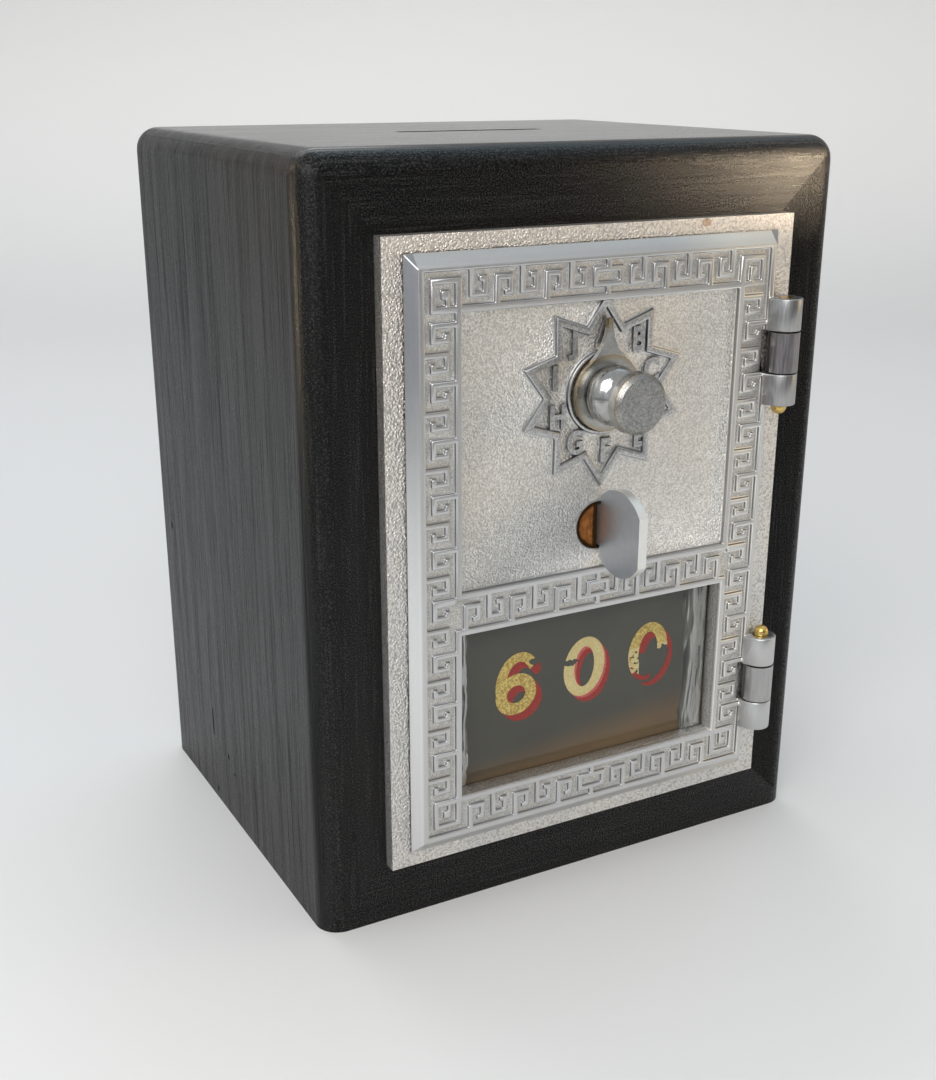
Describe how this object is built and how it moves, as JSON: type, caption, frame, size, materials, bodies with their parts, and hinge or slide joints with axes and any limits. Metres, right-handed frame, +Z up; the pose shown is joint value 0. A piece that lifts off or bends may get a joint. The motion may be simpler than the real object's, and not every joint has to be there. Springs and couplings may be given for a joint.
{
  "type": "post office door bank",
  "caption": "Wooden coin bank with a cast post office box door: Greek key border, star dial, thumb latch, numbered window and coin slot.",
  "frame": {"origin": "centre of the wooden case's underside", "axes": "+Z up, -Y out of the front where the door is, +X to the right seen from the front"},
  "size_m": [0.121, 0.1186, 0.155],
  "materials": {
    "black_wood": "ebonised, waxed, open grain",
    "cast_metal": "sand cast, tops polished, ground pebbled",
    "knob_metal": "turned, worn, warm patina",
    "tab_steel": "satin",
    "lock_steel": "dull plated",
    "bright_brass": "aged",
    "screw_brass": "dull",
    "window_glass": "old, slightly wavy, with ground edges"
  },
  "bodies": {
    "case": {"left_board": "black_wood", "right_board": "black_wood", "top_board": "black_wood", "bottom_board": "black_wood", "back_panel": "black_wood", "back_screws": "screw_brass", "door_frame": "cast_metal", "frame_screws": "lock_steel"},
    "door": {"door": "cast_metal", "upper_hinge_pin": "bright_brass", "lower_hinge_pin": "bright_brass", "window_glass": "window_glass", "glass_retainer": "lock_steel", "retainer_screws": "screw_brass", "lock_case": "cast_metal", "case_screws": "lock_steel", "lock_cover": "screw_brass", "cover_screws": "lock_steel", "tumbler_spacer": "bright_brass", "arbor_clip": "lock_steel", "bolt_guide": "lock_steel", "lever_clip": "lock_steel", "lever_spring": "lock_steel"},
    "dial": {"dial_knob": "knob_metal", "pointer": "knob_metal", "drive_wheel": "bright_brass", "drive_nut": "lock_steel"},
    "front_wheel": {"front_tumbler": "bright_brass"},
    "rear_wheel": {"rear_tumbler": "bright_brass"},
    "latch": {"thumb_tab": "tab_steel", "latch_spindle": "bright_brass", "latch_cam": "lock_steel"},
    "bolt": {"latch_bolt": "lock_steel"},
    "fence": {"fence_lever": "lock_steel"}
  },
  "joints": [
    {"name": "door_hinge", "type": "hinge", "parent": "case", "child": "door", "pos_m": [0.0432, -0.05645, 0.0767], "axis": [0, 0, 1], "range_deg": [0, 115]},
    {"name": "dial_turn", "type": "hinge", "parent": "door", "child": "dial", "pos_m": [0, -0.0555, 0.1083], "axis": [0, -1, 0], "continuous": true},
    {"name": "rear_wheel_turn", "type": "hinge", "parent": "door", "child": "rear_wheel", "pos_m": [0, -0.0433, 0.1083], "axis": [0, -1, 0], "continuous": true},
    {"name": "front_wheel_turn", "type": "hinge", "parent": "door", "child": "front_wheel", "pos_m": [0, -0.0473, 0.1083], "axis": [0, -1, 0], "continuous": true},
    {"name": "thumb_latch", "type": "hinge", "parent": "door", "child": "latch", "pos_m": [0, -0.0543, 0.0808], "axis": [0, -1, 0], "range_deg": [0, 90]},
    {"name": "bolt_slide", "type": "slide", "parent": "door", "child": "bolt", "axis": [-1, 0, 0], "range_m": [0, 0.0055]},
    {"name": "fence_swing", "type": "hinge", "parent": "door", "child": "fence", "pos_m": [-0.02, -0.0445, 0.0936], "axis": [0, -1, 0], "range_deg": [0, 3], "stiffness_Nm_per_rad": 0.001, "deforming": ["lever_spring"]}
  ],
  "couplings": [
    {"joint": "rear_wheel_turn", "follows": "dial_turn", "ratio": 1},
    {"joint": "front_wheel_turn", "follows": "dial_turn", "ratio": 1},
    {"joint": "bolt_slide", "follows": "thumb_latch", "m_per_rad": 0.0035}
  ]
}
